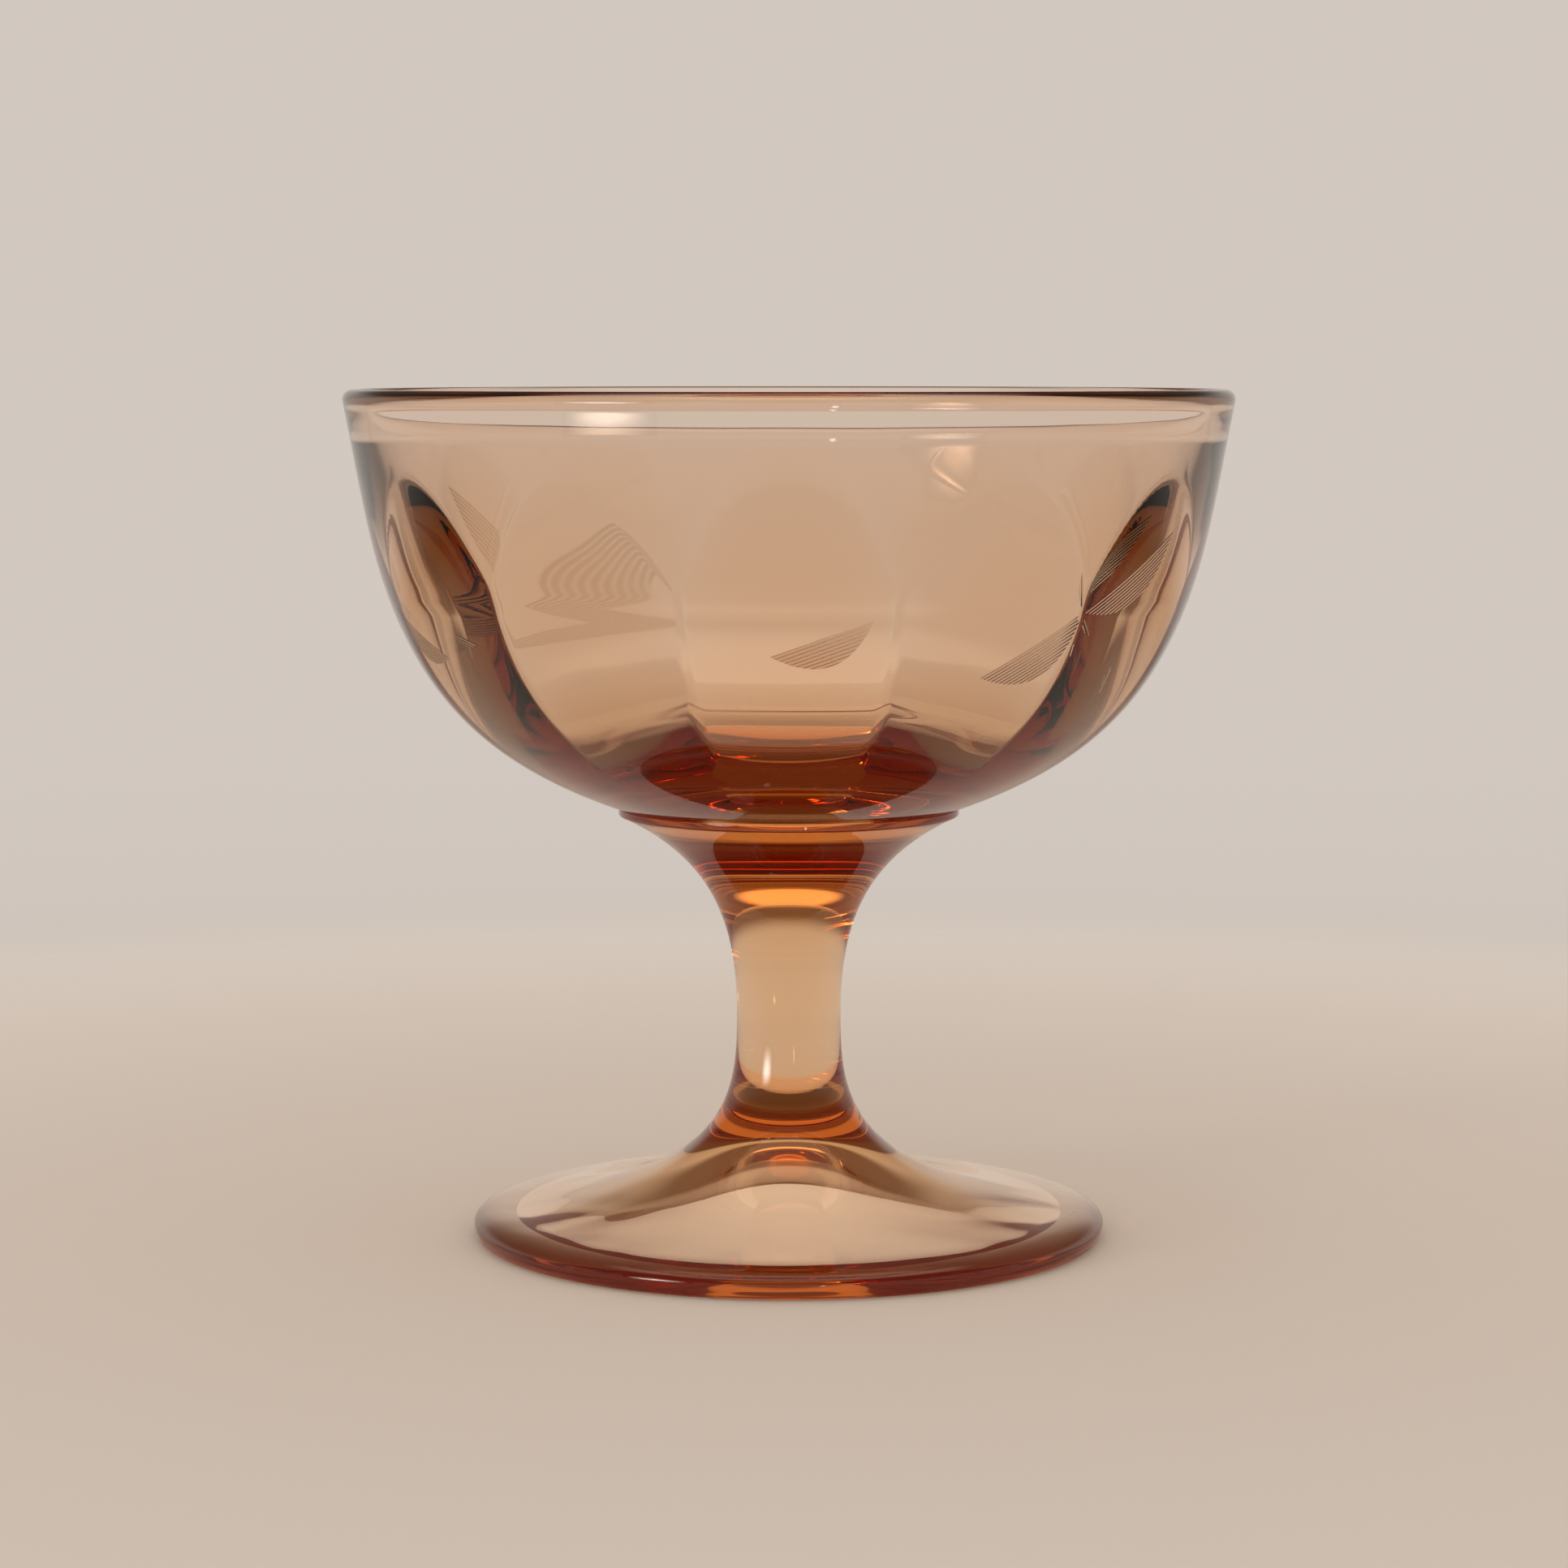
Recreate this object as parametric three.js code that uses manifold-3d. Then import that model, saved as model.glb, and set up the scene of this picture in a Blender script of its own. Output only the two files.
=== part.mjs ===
// A footed sherbet glass of pressed amber-pink glass: a panelled bowl on a thin collar,
// a drawn stem with a trumpet top, and a low hollow foot, each fused flat on the next.
// Millimetres, +Z up, the foot's resting ring on z = 0 and the glass's axis on Z.
import * as THREE from "three";
import { mergeVertices } from "three/addons/utils/BufferGeometryUtils.js";
import Module from "manifold-3d";

// Heights of the four pieces as they are stacked
const FOOT_HEIGHT = 13.6;
const STEM_LENGTH = 30.7;
const COLLAR_HEIGHT = 1.0;
const BOWL_HEIGHT = 43.3;

// Bowl, outside
const RIM_DIAMETER = 92;
const LIP_THICKNESS = 2.4;
const LIP_ROUND = 1.1;
const RIM_LEAN = 11.5; // degrees that the wall flares from upright at the rim
const BELLY_DROP = 18.4; // from the lip's widest line down to the belly line
const BELLY_DRAW_IN = 3.9; // how far the belly line lies inside the rim's radius
const BELLY_LEAN = 17.6; // degrees
const SEAT_RISE = 20; // degrees that the bowl's underside rises from its seat
const SEAT_OVERHANG = 0.5; // of the bowl's seat past the collar

// Bowl, inside
const LIP_CREST = 0.2; // width of the lip's flat top
const LIP_BEVEL = 2.2; // height of the rounding inside the lip
const BAND_HEIGHT = 2.4; // of the steep band under that rounding
const BAND_LEAN = 4.8; // degrees
const INSIDE_LEAN = 15.4; // degrees, from the band down to the belly line
const BELLY_WALL = 2.8; // at the corners between two panels
const FLOOR_THICKNESS = 4.9;
const FLOOR_DIAMETER = 18;
const PANEL_COUNT = 12;
const PANEL_TOP_DROP = 8.4; // from the rim down to the arched panel tops
const ARCH_HEIGHT = 12.5; // over which an arch widens to its panel's full width
const PANEL_CUT = 1.15; // 1 brings the panels' corners just to the round wall, more cuts deeper

// Collar, stem and foot
const COLLAR_DIAMETER = 35.6;
const COLLAR_EDGE_ROUND = 0.3;
const WAIST_DIAMETER = 10.9;
const WAIST_DROP = 21; // from the collar down to the stem's waist
const FLARE_RISE = 26; // degrees that the trumpet's edge rises towards the collar
const FOOT_DIAMETER = 66.2;
const FOOT_EDGE_HEIGHT = 3.05; // top of the foot's rounded edge
const FOOT_EDGE_MIDDLE = 1.5; // height of the foot's widest line
const FOOT_SHOULDER_WIDTH = 3.2; // from the widest line in to the start of the dome
const FOOT_UNDERCUT = 1.0; // from the widest line in to the resting ring
const DOME_RISE = 7; // degrees that the foot's top rises at its edge
const RING_WIDTH = 3.8; // flat resting ring round the hollow underside
const HOLLOW_DEPTH = 8; // at the axis
const HOLLOW_RISE = 5; // degrees that the hollow rises at the ring

// How full each curve is at its start and at its end, as shares of its chord
const UPPER_FULLNESS = [0.29, 0.29];
const LOWER_FULLNESS = [0.4, 0.4];
const FLARE_FULLNESS = [0.42, 0.42];
const COVE_FULLNESS = [0.75, 0.28];
const EDGE_FULLNESS = [0.26, 0.55];
const HOLLOW_FULLNESS = [0.22, 0.7];

// Fineness of the facets
const ROUND_STEPS = 48;
const STEM_STEPS = 36;
const CURVE_STEPS = 9;
const ARC_STEPS = 4;
const OVERCUT = 5; // how far the plunger that hollows the bowl stands above the rim

const AMBER_PINK = 0xd29a6f;
const GLASS_ROUGHNESS = 0.05;

const { degToRad } = THREE.MathUtils;
const wasm = await Module();
wasm.setup();

const stemZ = FOOT_HEIGHT;
const collarZ = stemZ + STEM_LENGTH;
const bowlZ = collarZ + COLLAR_HEIGHT;
const rimZ = bowlZ + BOWL_HEIGHT;
const collarRadius = COLLAR_DIAMETER / 2;
const collarFace = collarRadius - COLLAR_EDGE_ROUND; // flat face inside the collar's round edge

const point = (r, z) => new THREE.Vector2(r, z);

// Direction in the profile plane, outwards and up from level by an angle in degrees.
function heading(degrees) {
  return point(Math.cos(degToRad(degrees)), Math.sin(degToRad(degrees)));
}

// Curve that leaves one point along a direction and arrives at another along a second one.
function sweep(start, startHeading, end, endHeading, fullness) {
  const chord = start.distanceTo(end);
  return new THREE.CubicBezierCurve(
    start,
    start.clone().addScaledVector(startHeading, chord * fullness[0]),
    end.clone().addScaledVector(endHeading, -chord * fullness[1]),
    end,
  );
}

// Points of an elliptical quarter about a centre, between two angles in degrees.
function arc(r, z, radiusR, radiusZ, from, to) {
  const ellipse = new THREE.EllipseCurve(r, z, radiusR, radiusZ, degToRad(from), degToRad(to), from > to);
  return ellipse.getPoints(ARC_STEPS);
}

// Profile points in order, without the doubled ones where two stretches meet.
function join(...stretches) {
  return stretches.flat().filter((p, i, all) => i === 0 || p.distanceTo(all[i - 1]) > 1e-6);
}

// Solid of revolution about Z, from a profile that runs from the axis below, outside, to the axis above.
function turned(profile, steps, turn = 0) {
  return new THREE.LatheGeometry(profile, steps).rotateX(Math.PI / 2).rotateZ(turn);
}

function toSolid(geometry) {
  const bare = geometry.clone();
  bare.deleteAttribute("normal");
  bare.deleteAttribute("uv");
  const merged = mergeVertices(bare, 1e-4);
  const corners = merged.index.array;
  const triVerts = [];
  for (let i = 0; i < corners.length; i += 3) {
    const [a, b, c] = corners.slice(i, i + 3);
    if (a !== b && b !== c && c !== a) triVerts.push(a, b, c);
  }
  return new wasm.Manifold(
    new wasm.Mesh({
      numProp: 3,
      vertProperties: merged.attributes.position.array,
      triVerts: new Uint32Array(triVerts),
    }),
  );
}

function toGeometry(solid) {
  const mesh = solid.getMesh();
  const geometry = new THREE.BufferGeometry();
  geometry.setAttribute("position", new THREE.BufferAttribute(mesh.vertProperties, 3));
  geometry.setIndex(new THREE.BufferAttribute(mesh.triVerts, 1));
  geometry.computeVertexNormals();
  return geometry;
}

// Bowl wall from its seat or floor upwards: a full lower stretch and a nearly straight upper one.
function wallPoints(foot, footRise, belly, bellyLean, top, topLean) {
  const bellyHeading = heading(90 - bellyLean);
  const lower = sweep(foot, heading(footRise), belly, bellyHeading, LOWER_FULLNESS);
  const upper = sweep(belly, bellyHeading, top, heading(90 - topLean), UPPER_FULLNESS);
  return join(lower.getPoints(CURVE_STEPS), upper.getPoints(CURVE_STEPS));
}

const rimRadius = RIM_DIAMETER / 2;
const lipZ = rimZ - LIP_ROUND; // the lip's widest line
const bellyRadius = rimRadius - BELLY_DRAW_IN;
const bellyZ = lipZ - BELLY_DROP;

function bowlBlank() {
  const seat = point(collarRadius + SEAT_OVERHANG, bowlZ);
  const belly = point(bellyRadius, bellyZ);
  const outside = wallPoints(seat, SEAT_RISE, belly, BELLY_LEAN, point(rimRadius, lipZ), RIM_LEAN);
  const lip = arc(rimRadius - LIP_ROUND, lipZ, LIP_ROUND, LIP_ROUND, 0, 90);
  return turned(join([point(0, bowlZ)], outside, lip, [point(0, rimZ)]), ROUND_STEPS);
}

// Inside wall as it would be without panels, from the floor's edge to the lip's rounding.
function roundWall() {
  const floorEdge = point(FLOOR_DIAMETER / 2, bowlZ + FLOOR_THICKNESS);
  const belly = point(bellyRadius - BELLY_WALL, bellyZ);
  const mouth = point(rimRadius - LIP_THICKNESS, rimZ - LIP_BEVEL);
  const band = point(mouth.x - BAND_HEIGHT * Math.tan(degToRad(BAND_LEAN)), mouth.y - BAND_HEIGHT);
  return join(wallPoints(floorEdge, 0, belly, INSIDE_LEAN, band, INSIDE_LEAN), [mouth]);
}

// The plunger that presses the hollow: a round one, cut to flats below the panels' arched tops.
function plunger() {
  const wall = roundWall();
  const floor = point(0, bowlZ + FLOOR_THICKNESS);
  const crest = rimRadius - LIP_ROUND - LIP_CREST;
  const lip = arc(crest, rimZ - LIP_BEVEL, crest - wall.at(-1).x, LIP_BEVEL, 180, 90);
  const above = [point(crest, rimZ + OVERCUT), point(0, rimZ + OVERCUT)];
  const round = turned(join([floor], wall, lip, above), ROUND_STEPS);

  const halfPanel = Math.PI / PANEL_COUNT;
  const cornerReach = 1 / Math.cos(halfPanel);
  const archTop = rimZ - PANEL_TOP_DROP;
  const flatWall = wall.map((p) => {
    const share = Math.min((archTop - p.y) / ARCH_HEIGHT, 1) * PANEL_CUT;
    return point(p.x * (1 - (1 - Math.cos(halfPanel)) * share) * cornerReach, p.y);
  });
  const top = flatWall.at(-1).x;
  const flatAbove = [point(top, rimZ + OVERCUT), point(0, rimZ + OVERCUT)];
  const flats = turned(join([floor], flatWall, flatAbove), PANEL_COUNT, halfPanel);
  return toSolid(round).intersect(toSolid(flats));
}

function bowl() {
  return toGeometry(toSolid(bowlBlank()).subtract(plunger()));
}

// Thin disc with a round edge, between the bowl's seat and the stem's top.
function collar() {
  const round = COLLAR_EDGE_ROUND;
  const underEdge = arc(collarFace, collarZ + round, round, round, -90, 0);
  const upperEdge = arc(collarFace, bowlZ - round, round, round, 0, 90);
  return turned(join([point(0, collarZ)], underEdge, upperEdge, [point(0, bowlZ)]), ROUND_STEPS);
}

const waist = point(WAIST_DIAMETER / 2, collarZ - WAIST_DROP);
const footRadius = FOOT_DIAMETER / 2;
const shoulder = point(footRadius - FOOT_SHOULDER_WIDTH, FOOT_EDGE_HEIGHT);

// One cove runs from the foot's shoulder to the stem's waist, and the joint face parts it.
const cove = sweep(shoulder, heading(180 - DOME_RISE), waist, heading(90), COVE_FULLNESS);

function coveShareAtJoint() {
  let low = 0;
  let high = 1;
  while (high - low > 1e-7) {
    const middle = (low + high) / 2;
    if (cove.getPoint(middle).y < stemZ) low = middle;
    else high = middle;
  }
  return low;
}

const jointShare = coveShareAtJoint();
const jointRadius = cove.getPoint(jointShare).x;

function covePoints(from, to) {
  return Array.from({ length: CURVE_STEPS + 1 }, (_, i) => {
    return cove.getPoint(from + ((to - from) * i) / CURVE_STEPS);
  });
}

function stem() {
  const joint = point(jointRadius, stemZ);
  const lower = covePoints(jointShare, 1).slice(1);
  const trumpet = sweep(waist, heading(90), point(collarFace, collarZ), heading(FLARE_RISE), FLARE_FULLNESS);
  const ends = [point(0, stemZ), joint];
  return turned(join(ends, lower, trumpet.getPoints(CURVE_STEPS), [point(0, collarZ)]), STEM_STEPS);
}

function foot() {
  const ringOuter = footRadius - FOOT_UNDERCUT;
  const ringInner = ringOuter - RING_WIDTH;
  const apex = point(0, HOLLOW_DEPTH);
  const hollow = sweep(apex, heading(0), point(ringInner, 0), heading(-HOLLOW_RISE), HOLLOW_FULLNESS);
  const underEdge = arc(ringOuter, FOOT_EDGE_MIDDLE, FOOT_UNDERCUT, FOOT_EDGE_MIDDLE, -90, 0);
  const widest = point(footRadius, FOOT_EDGE_MIDDLE);
  const upperEdge = sweep(widest, heading(90), shoulder, heading(180 - DOME_RISE), EDGE_FULLNESS);
  const dome = covePoints(0, jointShare).slice(0, -1);
  const ends = [point(jointRadius, stemZ), point(0, stemZ)];
  const edge = join(underEdge, upperEdge.getPoints(ARC_STEPS));
  return turned(join(hollow.getPoints(CURVE_STEPS), edge, dome, ends), ROUND_STEPS);
}

const glass = new THREE.Group();
for (const [name, geometry] of Object.entries({ bowl: bowl(), collar: collar(), stem: stem(), foot: foot() })) {
  const material = new THREE.MeshStandardMaterial({
    color: AMBER_PINK,
    roughness: GLASS_ROUGHNESS,
    metalness: 0,
  });
  const piece = new THREE.Mesh(geometry, material);
  piece.name = name;
  glass.add(piece);
}

export default glass;
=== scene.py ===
"""Looks of a footed sherbet glass in amber-pink pressed glass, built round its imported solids.

Metres, +Z up, in the solids' own frame: the foot rests on z = 0 and the glass's axis is Z.
"""

import math

import bpy
import numpy as np
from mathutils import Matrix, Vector


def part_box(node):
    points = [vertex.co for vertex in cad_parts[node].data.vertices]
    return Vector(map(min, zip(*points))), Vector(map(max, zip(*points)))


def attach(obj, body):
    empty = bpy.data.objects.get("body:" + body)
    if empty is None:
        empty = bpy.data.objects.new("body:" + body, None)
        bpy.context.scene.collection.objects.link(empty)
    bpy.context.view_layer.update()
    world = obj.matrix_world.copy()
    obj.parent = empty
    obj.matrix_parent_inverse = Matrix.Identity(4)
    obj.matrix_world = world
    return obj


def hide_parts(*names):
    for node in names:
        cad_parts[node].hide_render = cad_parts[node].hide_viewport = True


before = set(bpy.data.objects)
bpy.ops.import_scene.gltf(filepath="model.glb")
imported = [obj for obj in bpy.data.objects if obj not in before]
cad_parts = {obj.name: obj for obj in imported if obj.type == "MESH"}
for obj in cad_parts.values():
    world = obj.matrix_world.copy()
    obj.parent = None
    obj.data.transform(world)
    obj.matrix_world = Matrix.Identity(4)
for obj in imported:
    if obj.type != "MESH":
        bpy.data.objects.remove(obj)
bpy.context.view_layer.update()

MM = 0.001

# Bowl
LIP_ROUND = 1.1 * MM
LIP_THICKNESS = 2.4 * MM
LIP_CREST = 0.2 * MM  # width of the lip's flat top
LIP_BEVEL = 2.2 * MM  # height of the rounding inside the lip
BAND_HEIGHT = 2.4 * MM  # of the steep band inside, under that rounding
BAND_LEAN = 4.8  # degrees from upright
INSIDE_LEAN = 15.4  # degrees from upright, from the band down to the belly line
RIM_LEAN = 11.5  # degrees from upright
BELLY_DROP = 18.4 * MM
BELLY_DRAW_IN = 3.9 * MM
BELLY_LEAN = 17.6  # degrees from upright
SEAT_RISE = 20  # degrees from level
SEAT_OVERHANG = 0.5 * MM
BELLY_WALL = 2.8 * MM
FLOOR_THICKNESS = 4.9 * MM
FLOOR_RADIUS = 9 * MM
PANEL_COUNT = 12
PANEL_TOP_DROP = 8.4 * MM
ARCH_HEIGHT = 12.5 * MM
PANEL_CUT = 1.15  # 1 brings the panels' corners just to the round wall
PANEL_CORNER_ROUND = 3 * MM
CORNER_ROUND_LIMIT = 1 / 3  # of a panel's distance from the axis
ARCH_EDGE_ROUND = 0.06 * MM

# Wheel-cut leaves on the bowl's outside: (tip azimuth, tip height, base azimuth, base height, width).
# Azimuths are in degrees from the middle of the leaf's group. A leaf is a half moon to the right of
# its straight edge, going from tip to base, or to the left of it where its width is negative.
SPRAY = (
    (-1.8, 71.6 * MM, 0, 67.4 * MM, 0.7 * MM),
    (0.4, 62.8 * MM, 0, 67 * MM, -1 * MM),
    (3, 64.8 * MM, 0.2, 67 * MM, -0.6 * MM),
    (11.7, 61.5 * MM, 12.6, 58.6 * MM, 0.5 * MM),
    (-15.1, 61.1 * MM, 0, 67.2 * MM, 4.1 * MM),
    (17.2, 74.7 * MM, 0, 67.2 * MM, -3.6 * MM),
)
RIGHT_LEAF = ((-6.9, 63.6 * MM, 7, 67.2 * MM, 3.2 * MM),)
LEFT_LEAF = ((7, 62.1 * MM, -7.5, 66.5 * MM, -3.2 * MM),)
# Where the groups are cut: (azimuth of the middle, from -Y towards +X, depth of the lines, group)
CUTS = ((43.2, 1, SPRAY), (227.5, 0.35, SPRAY), (4.2, 1, RIGHT_LEAF), (293.7, 0.6, LEFT_LEAF))
CUT_PITCH = 0.38 * MM  # between a leaf's lines
CUT_SLOPE = 0.5  # of a line's two flanks
CUT_SHARPNESS = 3  # of the bend between the two flanks
CUT_ROUGHNESS = 0.2
# Painted shade in the leaves' lines, darkest in the middle of a line, where a cut looks dark
CUT_PAINTED_SHADE = (0.7, 0.57, 0.46)  # in the middle of a line
CUT_EDGE_FADE = 0.06 * MM  # width in which the lines begin at a leaf's edge
LEAF_WALL_RISE = 65  # degrees from level, of the wall under the leaves
OFF_LEAF = 9.0  # given to faces that no leaf touches

# How far around a leaf its faces are gathered
LEAF_MARGIN = 2 * MM
LEAF_END_PAD = 0.05  # share of half its length
LEAF_EDGE_PAD = 0.1 * MM
LEAF_BELLY_PAD = 0.6 * MM
WALL_TOLERANCE = 0.2 * MM  # between a point of the bowl's outside and its outline

# Collar, stem and foot
COLLAR_EDGE_ROUND = 0.3 * MM
WAIST_RADIUS = 5.45 * MM
WAIST_DROP = 21 * MM
FLARE_RISE = 26  # degrees from level
FOOT_EDGE_HEIGHT = 3.05 * MM
FOOT_EDGE_MIDDLE = 1.5 * MM
FOOT_SHOULDER_WIDTH = 3.2 * MM
FOOT_UNDERCUT = 1 * MM
DOME_RISE = 7  # degrees from level
RING_WIDTH = 3.8 * MM
HOLLOW_DEPTH = 8 * MM
HOLLOW_RISE = 5  # degrees from level, at the ring

# How full each curve is, as the share of its chord that a handle takes
UPPER_FULLNESS = (0.29, 0.29)
LOWER_FULLNESS = (0.4, 0.4)
FLARE_FULLNESS = (0.42, 0.42)
COVE_FULLNESS = (0.75, 0.28)
EDGE_FULLNESS = (0.26, 0.55)
HOLLOW_FULLNESS = (0.22, 0.7)

# Fineness of the turned meshes
COLUMNS = 432
COLUMN_CROWDING = 0.6  # at the panels' corners
ROW_PITCH = 0.6 * MM
LEAST_SWEEP_ROWS = 8
LEAST_ARC_ROWS = 13
STRAIGHT_ROWS = 4
JOINT_GAP = 0.01 * MM  # half the gap between two pieces' joint faces
JOINT_ROW_GAP = 0.2 * MM  # least height between a joint and the next row of the cove
SAME_ROW = 1e-8  # metres between two rows that count as one
SHARP_ANGLE = 35  # degrees between faces that meet in an edge

# Finish of a stretch of surface
POLISHED = "polished"
JOINT = "joint"
GROUND = "ground"

# Glass
GLASS_IOR = 1.5
FUSED_IOR = 1.0001  # at the joint faces, where glass meets glass
SURFACE_TINT = (1, 0.939, 0.924)
JOINT_TINT = (1, 1, 1)
ABSORPTION_COLOUR = (0.945, 0.62, 0.162)
ABSORPTION_DENSITY = 105  # per metre
GROUND_ROUGHNESS = 0.35  # of the resting ring
SMUDGE_ROUGHNESS = 0.07  # where the glass is smudged most
SMUDGE_RANGE = (0.45, 0.75)  # of the noise, from clean to smudged most
SMUDGE_SIZE = 30 * MM
SMUDGE_DETAIL = 6
WAVE_LENGTH = 14 * MM
WAVE_DETAIL = 1
WAVE_HEIGHT = 0.05 * MM
FOOT_WAVE_HEIGHT = 0.22 * MM

# Floor
FLOOR_COLOUR = (0.88, 0.82, 0.76)
FLOOR_FADE = (0.1, 0.3)  # radii
FLOOR_WIDTH = 0.66
FLOOR_DROP = 0.05 * MM  # under the resting ring

# Disc under the foot, seen only through the glass: a painted glow as of a lit surface, with a painted
# shadow along its front
SHADE_COLOUR = (0.2, 0.08, 0.035)
DISC_GLOW_COLOUR = (0.78, 0.64, 0.52)
SHADE_SHIFT = 6 * MM  # of the pale middle, away from the camera
SHADE_FADE = (36 * MM, 29 * MM)  # radii about that middle, from shade to disc
DISC_REACH = 1.12  # of the foot's radius
DISC_SIDES = 96
DISC_DROP = 0.02 * MM  # under the resting ring

# Surround: colours, and the elevations in degrees between which one turns into the next
WALL_COLOUR = (0.645, 0.58, 0.525)
LOW_WALL_COLOUR = (0.5, 0.44, 0.39)
WALL_FADE = (-22, -3)  # from low wall to wall
DEEP_COLOUR = (0.24, 0.18, 0.14)  # far down, for light that goes straight through the glass
DEEP_FADE = (-60, -36)  # from deep to wall
GROUND_COLOUR = (0.13, 0.078, 0.048)  # low down, for light that turned back inside the glass
GROUND_FADE = (-17, -8)  # from ground to wall
UPPER_WALL_COLOUR = (0.22, 0.14, 0.095)
UPPER_WALL_FADE = (11, 24)  # from wall to upper wall
CEILING_COLOUR = (1.7, 1.45, 1.2)
CEILING_FADE = (52, 66)  # from upper wall to ceiling
SPENT_COLOUR = (0.17, 0.11, 0.075)  # for light that turned back again and again
SPENT_TURNS = (1, 3)  # over which the spent colour takes over

# Lights
LIGHT_COLOUR = (1, 0.97, 0.93)

# Camera
CAMERA_PLACE = (-0.5 * MM, -430 * MM, 91.4 * MM)
CAMERA_PITCH = 5.83  # degrees down
CAMERA_LENS = 95  # millimetres
SENSOR_WIDTH = 36  # millimetres

# Bounces, enough for light that turns back many times inside the glass
GLASS_BOUNCES = 32
MIRROR_BOUNCES = 16
CLEAR_BOUNCES = 16

# Sizes that the solids give
rim_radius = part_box("bowl")[1].x
rim_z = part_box("bowl")[1].z
bowl_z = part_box("bowl")[0].z
collar_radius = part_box("collar")[1].x
collar_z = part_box("collar")[0].z
stem_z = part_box("stem")[0].z
foot_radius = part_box("foot")[1].x
lip_z = rim_z - LIP_ROUND
belly_z = lip_z - BELLY_DROP
belly_radius = rim_radius - BELLY_DRAW_IN
collar_face = collar_radius - COLLAR_EDGE_ROUND
waist_z = collar_z - WAIST_DROP
floor_z = bowl_z + FLOOR_THICKNESS


def heading(degrees):
    """Direction in a profile's plane, turned from outward towards up."""
    angle = math.radians(degrees)
    return np.array((math.cos(angle), math.sin(angle)))


def sweep(start, start_heading, end, end_heading, fullness):
    """Points of a curve that leaves start along one direction and reaches end along another."""
    start, end = np.array(start), np.array(end)
    chord = np.linalg.norm(end - start)
    near = start + start_heading * chord * fullness[0]
    far = end - end_heading * chord * fullness[1]
    t = np.linspace(0, 1, max(int(chord / ROW_PITCH) + 2, LEAST_SWEEP_ROWS))[:, None]
    return (1 - t) ** 3 * start + 3 * (1 - t) ** 2 * t * near + 3 * (1 - t) * t**2 * far + t**3 * end


def arc(r, z, radius_r, radius_z, start, end):
    """Points of an elliptical stretch about (r, z), between two angles in degrees."""
    length = math.radians(abs(end - start)) * max(radius_r, radius_z)
    t = np.radians(np.linspace(start, end, max(int(length / ROW_PITCH) + 2, LEAST_ARC_ROWS)))
    return np.stack((r + radius_r * np.cos(t), z + radius_z * np.sin(t)), 1)


def level(start, end, z):
    """Points of a flat stretch between two radii."""
    r = np.linspace(start, end, STRAIGHT_ROWS)
    return np.stack((r, np.full(len(r), z)), 1)


def wall(low_end, low_rise, belly, belly_lean, top, top_lean):
    """Points up one side of the bowl's wall, past its belly line."""
    belly_heading = heading(90 - belly_lean)
    lower = sweep(low_end, heading(low_rise), belly, belly_heading, LOWER_FULLNESS)
    upper = sweep(belly, belly_heading, top, heading(90 - top_lean), UPPER_FULLNESS)
    return np.concatenate((lower, upper[1:]))


seat = (collar_radius + SEAT_OVERHANG, bowl_z + JOINT_GAP)
outer_wall = wall(seat, SEAT_RISE, (belly_radius, belly_z), BELLY_LEAN, (rim_radius, lip_z), RIM_LEAN)
shoulder = (foot_radius - FOOT_SHOULDER_WIDTH, FOOT_EDGE_HEIGHT)
waist = (WAIST_RADIUS, waist_z)
cove_points = sweep(shoulder, heading(180 - DOME_RISE), waist, heading(90), COVE_FULLNESS)
joint_radius = np.interp(stem_z, cove_points[:, 1], cove_points[:, 0])

azimuths = np.linspace(0, 2 * math.pi, COLUMNS, endpoint=False)
azimuths += COLUMN_CROWDING * np.sin(PANEL_COUNT * azimuths) / PANEL_COUNT


def panel_radius(round_radius, z):
    """Radius of the bowl's inside at every azimuth: a round wall, cut to flats under the arches."""
    half = math.pi / PANEL_COUNT
    share = min((rim_z - PANEL_TOP_DROP - z) / ARCH_HEIGHT, 1) * PANEL_CUT
    apothem = round_radius * (1 - (1 - math.cos(half)) * share)
    off_middle = np.abs((azimuths + half) % (2 * half) - half)
    flat = apothem / np.cos(off_middle)
    corner_round = min(PANEL_CORNER_ROUND, apothem * CORNER_ROUND_LIMIT)
    centre = (apothem - corner_round) / math.cos(half)
    off_corner = half - off_middle
    reach = np.maximum(corner_round**2 - (centre * np.sin(off_corner)) ** 2, 0)
    rounded = centre * np.cos(off_corner) + np.sqrt(reach)
    start = math.atan2(centre * math.sin(half), apothem)
    flat = np.where(off_middle > start, rounded, flat)
    blend = np.clip(0.5 + 0.5 * (flat - round_radius) / ARCH_EDGE_ROUND, 0, 1)
    return flat + (round_radius - flat) * blend - ARCH_EDGE_ROUND * blend * (1 - blend)


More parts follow.
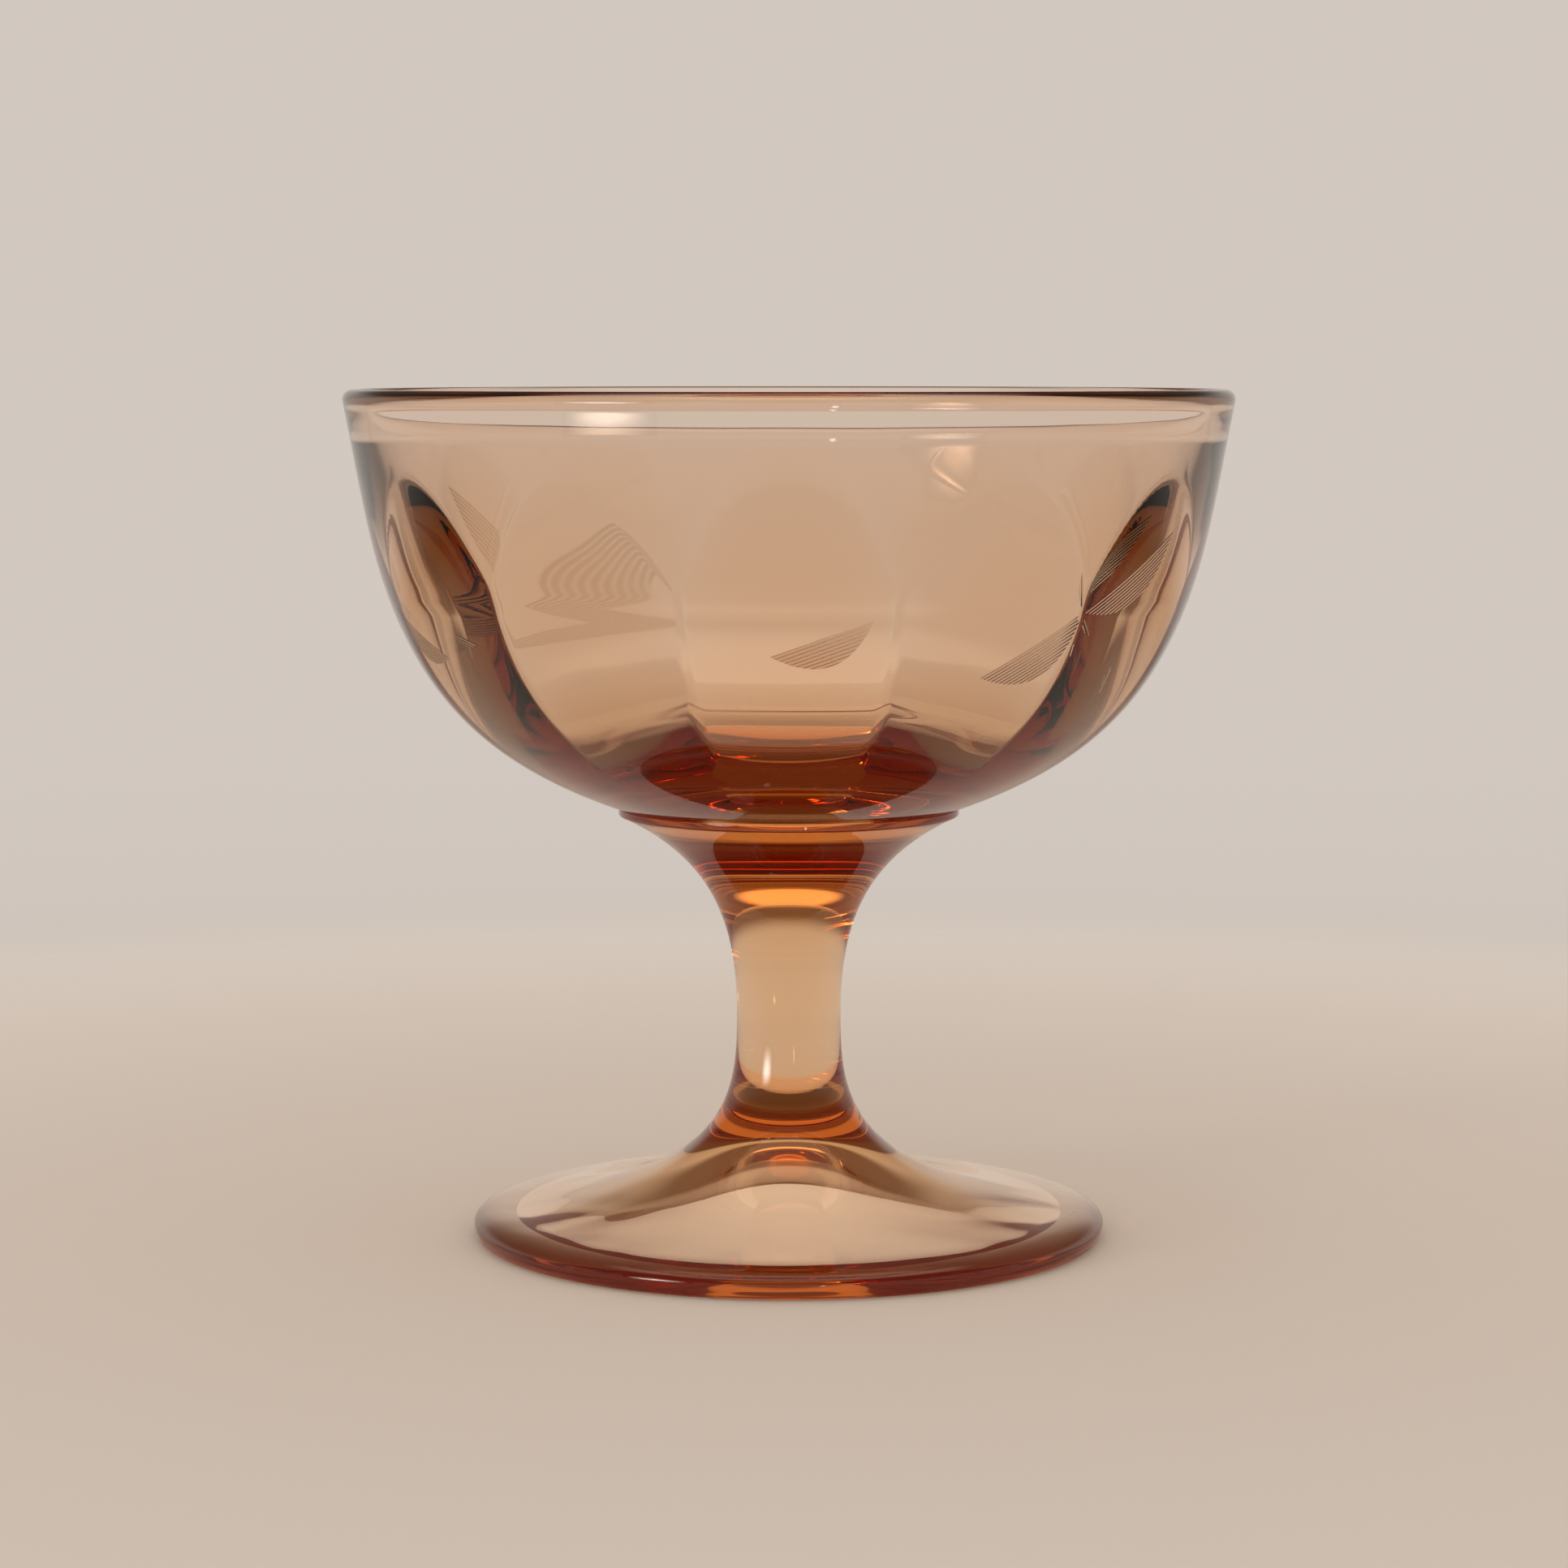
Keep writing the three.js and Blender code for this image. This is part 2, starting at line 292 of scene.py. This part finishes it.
def turned(name, stretches):
    """A closed piece turned about Z. A stretch is (points, finish, radius_at), from the lower end of
    the axis round the outside to its upper end."""
    rows, finishes = [], []
    for points, finish, radius_at in stretches:
        for r, z in points:
            ring = radius_at(r, z) if radius_at else np.full(COLUMNS, r)
            if rows and abs(rows[-1][0] - ring[0]) + abs(rows[-1][1] - z) < SAME_ROW:
                continue
            if rows:
                finishes.append(finish)
            rows.append((ring[0], z, ring))
    # Columns start at -Y, the side that faces the camera, and run towards +X
    across, along = np.sin(azimuths), -np.cos(azimuths)
    inner_rows = rows[1:-1]
    verts = [(0, 0, rows[0][1])]
    for _, z, ring in inner_rows:
        verts += zip(ring * across, ring * along, np.full(COLUMNS, z))
    verts.append((0, 0, rows[-1][1]))
    faces, face_finishes = [], []
    last = len(verts) - 1
    for j in range(COLUMNS):
        k = (j + 1) % COLUMNS
        faces.append((0, 1 + k, 1 + j))
        face_finishes.append(finishes[0])
        for i in range(len(inner_rows) - 1):
            low, high = 1 + i * COLUMNS, 1 + (i + 1) * COLUMNS
            faces.append((low + j, low + k, high + k, high + j))
            face_finishes.append(finishes[i + 1])
        top = 1 + (len(inner_rows) - 1) * COLUMNS
        faces.append((top + j, top + k, last))
        face_finishes.append(finishes[-1])
    mesh = bpy.data.meshes.new(name)
    mesh.from_pydata([tuple(map(float, v)) for v in verts], [], faces)
    mesh.shade_smooth()
    mesh.set_sharp_from_angle(angle=math.radians(SHARP_ANGLE))
    for finish in (JOINT, GROUND):
        flag = mesh.attributes.new(finish, "FLOAT", "FACE")
        flag.data.foreach_set("value", np.array([f == finish for f in face_finishes], np.float32))
    piece = bpy.data.objects.new(name, mesh)
    bpy.context.scene.collection.objects.link(piece)
    return piece


def mesh_values(items, name, kind, count=1):
    """One property of every item in a mesh's list."""
    values = np.zeros(len(items) * count, kind)
    items.foreach_get(name, values)
    return values


def along_wall(turn, sideways, upwards):
    """A direction in the bowl's wall at an azimuth, from its parts sideways and up the wall."""
    angle = math.radians(turn)
    lean = math.radians(90 - LEAF_WALL_RISE)
    side = np.array((math.cos(angle), math.sin(angle), 0))
    out = np.array((math.sin(angle), -math.cos(angle), 0))
    up = np.array((0, 0, math.cos(lean))) + out * math.sin(lean)
    return side * sideways + up * upwards


def cut_leaves(piece):
    """Gives the faces under each leaf their place in it, which the glass's shader turns into lines.

    leaf_place holds the share along the leaf from -1 to 1, the distance under its straight edge and
    the leaf's width; leaf_across is the direction across its lines, as long as they are deep."""
    wall_radius, wall_z = outer_wall.T
    steps = np.hypot(*np.diff(outer_wall, axis=0).T)
    wall_climb = np.concatenate(([0], np.cumsum(steps)))

    def radius_at(z):
        return np.interp(z, wall_z, wall_radius)

    def climb_to(z):
        """Length up the wall from its seat to a height."""
        return np.interp(z, wall_z, wall_climb)

    mesh = piece.data
    loops = mesh_values(mesh.loops, "vertex_index", np.int32)
    starts = mesh_values(mesh.polygons, "loop_start", np.int32)
    totals = mesh_values(mesh.polygons, "loop_total", np.int32)
    point_x, point_y, point_z = mesh_values(mesh.vertices, "co", np.float64, 3).reshape(-1, 3).T
    azimuth = np.degrees(np.arctan2(point_x, -point_y))
    outside = np.abs(np.hypot(point_x, point_y) - radius_at(point_z)) < WALL_TOLERANCE
    place = np.full((len(loops), 3), OFF_LEAF)
    across = np.zeros((len(loops), 3))
    leaves = [(middle, depth, leaf) for middle, depth, group in CUTS for leaf in group]
    for middle, depth, (tip_turn, tip_z, base_turn, base_z, signed_width) in leaves:
        turn = middle + (tip_turn + base_turn) / 2
        leaf_z = (tip_z + base_z) / 2
        per_degree = math.radians(radius_at(leaf_z))
        run = (base_turn - tip_turn) * per_degree
        rise = climb_to(base_z) - climb_to(tip_z)
        length = math.hypot(run, rise)
        along = np.array((run, rise)) / length
        under = np.array((along[1], -along[0])) * math.copysign(1, signed_width)
        width = abs(signed_width)
        x = ((azimuth - turn + 180) % 360 - 180) * per_degree
        y = climb_to(point_z) - climb_to(leaf_z)
        u = (x * along[0] + y * along[1]) / (length / 2)
        v = x * under[0] + y * under[1]
        near = outside & (np.abs(u) < 1 + 2 * LEAF_MARGIN / length)
        near &= (v > -LEAF_MARGIN) & (v < width + LEAF_MARGIN)
        inside = near & (np.abs(u) < 1 + LEAF_END_PAD)
        inside &= (v > -LEAF_EDGE_PAD) & (v < width * (1 - u**2) + LEAF_BELLY_PAD)
        face_in = np.add.reduceat(inside[loops], starts) > 0
        face_near = np.add.reduceat(near[loops], starts) == totals
        chosen = np.repeat(face_in & face_near, totals)
        place[chosen] = np.stack((u, v, np.full(len(u), width)), 1)[loops][chosen]
        across[chosen] = along_wall(turn, *under) * depth
    for name, values in (("leaf_place", place), ("leaf_across", across)):
        layer = mesh.attributes.new(name, "FLOAT_VECTOR", "CORNER")
        layer.data.foreach_set("vector", values.astype(np.float32).ravel())


def bowl():
    seat_radius, seat_z = seat
    lip_out = arc(rim_radius - LIP_ROUND, lip_z, LIP_ROUND, LIP_ROUND, 0, 90)
    mouth = rim_radius - LIP_THICKNESS
    crest = rim_radius - LIP_ROUND - LIP_CREST
    bevel_z = rim_z - LIP_BEVEL
    lip_in = arc(crest, bevel_z, crest - mouth, LIP_BEVEL, 90, 180)
    band_z = bevel_z - BAND_HEIGHT
    band_radius = mouth - BAND_HEIGHT * math.tan(math.radians(BAND_LEAN))
    band = np.linspace((mouth, bevel_z), (band_radius, band_z), STRAIGHT_ROWS)
    belly = (belly_radius - BELLY_WALL, belly_z)
    floor_edge = (FLOOR_RADIUS, floor_z)
    inside = wall(floor_edge, 0, belly, INSIDE_LEAN, (band_radius, band_z), INSIDE_LEAN)[::-1]
    piece = turned(
        "bowl_glass",
        [
            (level(0, collar_face, seat_z), JOINT, None),
            (level(collar_face, seat_radius, seat_z), POLISHED, None),
            (outer_wall, POLISHED, None),
            (lip_out, POLISHED, None),
            (lip_in, POLISHED, None),
            (band, POLISHED, None),
            (inside, POLISHED, panel_radius),
            (level(FLOOR_RADIUS, 0, floor_z), POLISHED, panel_radius),
        ],
    )
    cut_leaves(piece)
    return piece


def collar():
    low, high = collar_z + JOINT_GAP, bowl_z - JOINT_GAP
    edge = COLLAR_EDGE_ROUND
    return turned(
        "collar_glass",
        [
            (level(0, collar_face, low), JOINT, None),
            (arc(collar_face, low + edge, edge, edge, -90, 0), POLISHED, None),
            (arc(collar_face, high - edge, edge, edge, 0, 90), POLISHED, None),
            (level(collar_face, 0, high), JOINT, None),
        ],
    )


def stem():
    low, high = stem_z + JOINT_GAP, collar_z - JOINT_GAP
    above = cove_points[cove_points[:, 1] > low + JOINT_ROW_GAP]
    trumpet = sweep(waist, heading(90), (collar_face, high), heading(FLARE_RISE), FLARE_FULLNESS)
    return turned(
        "stem_glass",
        [
            (level(0, joint_radius, low), JOINT, None),
            (np.concatenate(([(joint_radius, low)], above)), POLISHED, None),
            (trumpet, POLISHED, None),
            (level(collar_face, 0, high), JOINT, None),
        ],
    )


def foot():
    high = stem_z - JOINT_GAP
    ring_outer = foot_radius - FOOT_UNDERCUT
    ring_inner = ring_outer - RING_WIDTH
    apex, ring_edge = (0, HOLLOW_DEPTH), (ring_inner, 0)
    hollow = sweep(apex, heading(0), ring_edge, heading(-HOLLOW_RISE), HOLLOW_FULLNESS)
    widest = (foot_radius, FOOT_EDGE_MIDDLE)
    lower_edge = arc(ring_outer, FOOT_EDGE_MIDDLE, FOOT_UNDERCUT, FOOT_EDGE_MIDDLE, -90, 0)
    upper_edge = sweep(widest, heading(90), shoulder, heading(180 - DOME_RISE), EDGE_FULLNESS)
    below = cove_points[cove_points[:, 1] < high - JOINT_ROW_GAP]
    return turned(
        "foot_glass",
        [
            (hollow, POLISHED, None),
            (level(ring_inner, ring_outer, 0), GROUND, None),
            (lower_edge, POLISHED, None),
            (upper_edge, POLISHED, None),
            (np.concatenate((below, [(joint_radius, high)])), POLISHED, None),
            (level(joint_radius, 0, high), JOINT, None),
        ],
    )


def fill(tree, socket, value):
    """Sets a socket to a number or colour, or links it to another node's socket."""
    if isinstance(value, bpy.types.NodeSocket):
        tree.links.new(value, socket)
    else:
        socket.default_value = value


def add(tree, kind, **inputs):
    """A node with some of its sockets filled by name."""
    node = tree.nodes.new(kind)
    for name, value in inputs.items():
        fill(tree, node.inputs[name.replace("_", " ")], value)
    return node


def math_node(tree, operation, *values):
    node = tree.nodes.new("ShaderNodeMath")
    node.operation = operation
    for socket, value in zip(node.inputs, values):
        fill(tree, socket, value)
    return node.outputs[0]


def vector_node(tree, operation, *vectors):
    node = tree.nodes.new("ShaderNodeVectorMath")
    node.operation = operation
    for socket, vector in zip(node.inputs, vectors):
        fill(tree, socket, vector)
    return node


def ramp(tree, value, span, ends=(0, 1), smooth=False):
    """A number that goes from one end to the other while a value crosses a span."""
    node = add(tree, "ShaderNodeMapRange", Value=value)
    if smooth:
        node.interpolation_type = "SMOOTHSTEP"
    for name, number in zip(("From Min", "From Max", "To Min", "To Max"), (*span, *ends)):
        node.inputs[name].default_value = number
    return node.outputs["Result"]


def mix_colour(tree, factor, first, second):
    """A blend from a first colour to a second, each a constant or another node's socket."""
    node = tree.nodes.new("ShaderNodeMix")
    node.data_type = "RGBA"
    tree.links.new(factor, node.inputs["Factor"])
    for name, colour in (("A", first), ("B", second)):
        constant = not isinstance(colour, bpy.types.NodeSocket)
        fill(tree, node.inputs[name], (*colour, 1) if constant else colour)
    return node.outputs["Result"]


def attribute(tree, name, output):
    node = tree.nodes.new("ShaderNodeAttribute")
    node.attribute_name = name
    return node.outputs[output]


def coordinates(tree, kind):
    return tree.nodes.new("ShaderNodeTexCoord").outputs[kind]


def new_material(name):
    """An empty material and its node tree."""
    material = bpy.data.materials.new(name)
    material.use_nodes = True
    material.node_tree.nodes.clear()
    return material, material.node_tree


def show(tree, shader):
    """Puts a shader on the surface, and gives the material's output back."""
    output = tree.nodes.new("ShaderNodeOutputMaterial")
    tree.links.new(shader.outputs[0], output.inputs["Surface"])
    return output


def leaf_cut(tree):
    """Sockets of a leaf's mask, of its line's flank, 1 on one side of a line and -1 on the other, and of
    the line's depth, 1 in its middle and 0 at its edges."""
    place = add(tree, "ShaderNodeSeparateXYZ", Vector=attribute(tree, "leaf_place", "Vector"))
    along, under, width = place.outputs
    edge = math_node(tree, "SUBTRACT", 1, math_node(tree, "MULTIPLY", along, along))
    left = math_node(tree, "SUBTRACT", math_node(tree, "MULTIPLY", width, edge), under)
    mask = ramp(tree, math_node(tree, "MINIMUM", left, under), (0, CUT_EDGE_FADE))
    line = math_node(tree, "FRACT", math_node(tree, "DIVIDE", under, CUT_PITCH))
    off_middle = math_node(tree, "SUBTRACT", line, 0.5)
    flank = math_node(tree, "MULTIPLY", off_middle, CUT_SHARPNESS)
    flank = math_node(tree, "MAXIMUM", math_node(tree, "MINIMUM", flank, 1), -1)
    depth = math_node(tree, "MULTIPLY_ADD", math_node(tree, "ABSOLUTE", off_middle), -2, 1)
    return mask, flank, depth


def wavy_normal(tree, place):
    """The surface's normal with the slight waves of pressed glass, deeper on the foot."""
    height = add(tree, "ShaderNodeSeparateXYZ", Vector=place).outputs["Z"]
    swell = ramp(tree, height, (FOOT_EDGE_HEIGHT, stem_z), (FOOT_WAVE_HEIGHT, WAVE_HEIGHT))
    waves = add(tree, "ShaderNodeTexNoise", Vector=place, Scale=1 / WAVE_LENGTH, Detail=WAVE_DETAIL)
    rolled = math_node(tree, "MULTIPLY", waves.outputs["Fac"], swell)
    return add(tree, "ShaderNodeBump", Height=rolled, Distance=1.0).outputs["Normal"]


def cut_normal(tree, normal, mask, flank):
    """A normal leant over on the flanks of the leaves' lines."""
    surface = tree.nodes.new("ShaderNodeNewGeometry")
    side = math_node(tree, "MULTIPLY_ADD", surface.outputs["Backfacing"], -2 * CUT_SLOPE, CUT_SLOPE)
    lean = math_node(tree, "MULTIPLY", math_node(tree, "MULTIPLY", mask, flank), side)
    shift = vector_node(tree, "SCALE", attribute(tree, "leaf_across", "Vector"))
    tree.links.new(lean, shift.inputs["Scale"])
    tilted = vector_node(tree, "ADD", normal, shift.outputs["Vector"])
    return vector_node(tree, "NORMALIZE", tilted.outputs["Vector"]).outputs["Vector"]


def glass_roughness(tree, place, mask):
    """Roughness of the resting ring, the leaves and the smudges, added up."""
    ground = math_node(tree, "MULTIPLY", attribute(tree, GROUND, "Fac"), GROUND_ROUGHNESS)
    smudges = add(tree, "ShaderNodeTexNoise", Vector=place, Scale=1 / SMUDGE_SIZE, Detail=SMUDGE_DETAIL)
    worn = ramp(tree, smudges.outputs["Fac"], SMUDGE_RANGE, (0, SMUDGE_ROUGHNESS))
    cut = math_node(tree, "MULTIPLY", mask, CUT_ROUGHNESS)
    return math_node(tree, "ADD", math_node(tree, "ADD", cut, ground), worn)


def glass_material():
    material, tree = new_material("amber_pink_pressed_glass")
    place = coordinates(tree, "Object")
    joint = attribute(tree, JOINT, "Fac")
    mask, flank, depth = leaf_cut(tree)
    clear = mix_colour(tree, joint, SURFACE_TINT, JOINT_TINT)
    shader = add(
        tree,
        "ShaderNodeBsdfPrincipled",
        # Painted shade along the leaves' lines, following each line's depth
        Base_Color=mix_colour(tree, math_node(tree, "MULTIPLY", mask, depth), clear, CUT_PAINTED_SHADE),
        Roughness=glass_roughness(tree, place, mask),
        Transmission_Weight=1.0,
        IOR=ramp(tree, joint, (0, 1), (GLASS_IOR, FUSED_IOR)),
        Normal=cut_normal(tree, wavy_normal(tree, place), mask, flank),
    )
    volume = add(
        tree, "ShaderNodeVolumeAbsorption", Color=(*ABSORPTION_COLOUR, 1), Density=ABSORPTION_DENSITY
    )
    tree.links.new(volume.outputs["Volume"], show(tree, shader).inputs["Volume"])
    return material


def flat_piece(name, corners):
    """A stage piece of one flat face, in its own XY plane."""
    mesh = bpy.data.meshes.new(name)
    mesh.from_pydata([(x, y, 0) for x, y in corners], [], [range(len(corners))])
    piece = bpy.data.objects.new(name, mesh)
    bpy.context.scene.collection.objects.link(piece)
    return piece


def card(name, width, height):
    x, y = width / 2, height / 2
    return flat_piece(name, ((-x, -y), (x, -y), (x, y), (-x, y)))


def from_middle(tree):
    """Distance from an object's own origin."""
    return vector_node(tree, "LENGTH", coordinates(tree, "Object")).outputs["Value"]


def partly_clear(tree, shader, clearness):
    """A shader that lets light straight through where clearness is 1."""
    clear = tree.nodes.new("ShaderNodeBsdfTransparent")
    mix = add(tree, "ShaderNodeMixShader", Fac=clearness)
    tree.links.new(shader.outputs[0], mix.inputs[1])
    tree.links.new(clear.outputs[0], mix.inputs[2])
    return mix


def glossy_depth(tree):
    """How often light turned back inside the glass, or was mirrored by it."""
    return tree.nodes.new("ShaderNodeLightPath").outputs["Glossy Depth"]


def turned_back(tree):
    return math_node(tree, "GREATER_THAN", glossy_depth(tree), 0)


def floor():
    """Pale matt floor that fades into the surround, so that it has no edge."""
    piece = card("floor", FLOOR_WIDTH, FLOOR_WIDTH)
    piece.location.z = -FLOOR_DROP
    piece.visible_transmission = False
    material, tree = new_material("pale_floor")
    shader = add(tree, "ShaderNodeBsdfDiffuse", Color=(*FLOOR_COLOUR, 1))
    show(tree, partly_clear(tree, shader, ramp(tree, from_middle(tree), FLOOR_FADE, smooth=True)))
    piece.data.materials.append(material)


def shade():
    """A pale disc under the foot, seen only through the glass: a painted glow as of a lit surface, with a
    dark painted shadow along its front. Light that turned back inside the glass sees nothing else of it."""
    reach = DISC_REACH * foot_radius
    turns = np.linspace(0, 2 * math.pi, DISC_SIDES, endpoint=False)
    piece = flat_piece("shade", [(reach * math.cos(t), reach * math.sin(t) - SHADE_SHIFT) for t in turns])
    piece.location = (0, SHADE_SHIFT, -DISC_DROP)
    for kind in ("camera", "diffuse", "glossy", "shadow"):
        setattr(piece, "visible_" + kind, False)
    material, tree = new_material("shade")
    fade = ramp(tree, from_middle(tree), SHADE_FADE, smooth=True)
    shader = add(tree, "ShaderNodeEmission", Color=mix_colour(tree, fade, SHADE_COLOUR, DISC_GLOW_COLOUR))
    show(tree, partly_clear(tree, shader, math_node(tree, "MULTIPLY", fade, turned_back(tree))))
    piece.data.materials.append(material)


def surround():
    """Pale walls. The glass sees them darker above and below its own height, with a pale ceiling, as
    a photographer's dark cards would have it, so that its thick parts and edges stand out."""
    room = bpy.data.worlds.new("studio")
    bpy.context.scene.world = room
    room.use_nodes = True
    tree = room.node_tree
    tree.nodes.clear()
    height = add(tree, "ShaderNodeSeparateXYZ", Vector=coordinates(tree, "Generated")).outputs["Z"]

    def rise(below, above, fade):
        """A colour that turns into another between two elevations."""
        span = [math.sin(math.radians(elevation)) for elevation in fade]
        return mix_colour(tree, ramp(tree, height, span, smooth=True), below, above)

    walls = rise(LOW_WALL_COLOUR, WALL_COLOUR, WALL_FADE)
    deep = rise(DEEP_COLOUR, WALL_COLOUR, DEEP_FADE)
    ground = rise(GROUND_COLOUR, WALL_COLOUR, GROUND_FADE)
    through = mix_colour(tree, turned_back(tree), deep, ground)
    through = rise(through, UPPER_WALL_COLOUR, UPPER_WALL_FADE)
    through = rise(through, CEILING_COLOUR, CEILING_FADE)
    through = mix_colour(tree, ramp(tree, glossy_depth(tree), SPENT_TURNS), through, SPENT_COLOUR)
    path = tree.nodes.new("ShaderNodeLightPath").outputs
    straight = math_node(tree, "MAXIMUM", path["Is Camera Ray"], path["Is Diffuse Ray"])
    background = add(tree, "ShaderNodeBackground", Color=mix_colour(tree, straight, through, walls))
    output = tree.nodes.new("ShaderNodeOutputWorld")
    tree.links.new(background.outputs[0], output.inputs["Surface"])


def soft_light(name, azimuth, elevation, distance, size, strength):
    """A glowing card that fades towards its edges, aimed at the glass and unseen by the camera."""
    piece = card(name, *size)
    turn, climb = math.radians(azimuth), math.radians(elevation)
    towards = Vector((math.sin(turn) * math.cos(climb), -math.cos(turn) * math.cos(climb), math.sin(climb)))
    piece.location = Vector((0, 0, rim_z / 2)) + towards * distance
    piece.rotation_euler = towards.to_track_quat("Z", "Y").to_euler()
    piece.visible_camera = False
    material, tree = new_material(name)
    split = add(tree, "ShaderNodeSeparateXYZ", Vector=coordinates(tree, "Generated"))
    glow = strength
    for axis in "XY":
        off_middle = math_node(tree, "ABSOLUTE", math_node(tree, "SUBTRACT", split.outputs[axis], 0.5))
        glow = math_node(tree, "MULTIPLY", ramp(tree, off_middle, (0.5, 0), smooth=True), glow)
    show(tree, add(tree, "ShaderNodeEmission", Color=(*LIGHT_COLOUR, 1), Strength=glow))
    piece.data.materials.append(material)


glass = glass_material()
for node, piece in {"bowl": bowl(), "collar": collar(), "stem": stem(), "foot": foot()}.items():
    piece.data.materials.append(glass)
    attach(piece, "root")
    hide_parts(node)

floor()
shade()
surround()
soft_light("window", azimuth=-47, elevation=4, distance=1.5, size=(0.7, 0.6), strength=16)
soft_light("lamp", azimuth=10.6, elevation=-6, distance=0.3, size=(0.012, 0.05), strength=14)

camera_data = bpy.data.cameras.new("camera")
camera_data.lens = CAMERA_LENS
camera_data.sensor_width = SENSOR_WIDTH
camera = bpy.data.objects.new("camera", camera_data)
camera.location = CAMERA_PLACE
camera.rotation_euler = (math.radians(90 - CAMERA_PITCH), 0, 0)

scene = bpy.context.scene
scene.collection.objects.link(camera)
scene.camera = camera
scene.view_settings.view_transform = "Standard"
scene.cycles.max_bounces = GLASS_BOUNCES
scene.cycles.transmission_bounces = GLASS_BOUNCES
scene.cycles.glossy_bounces = MIRROR_BOUNCES
scene.cycles.transparent_max_bounces = CLEAR_BOUNCES
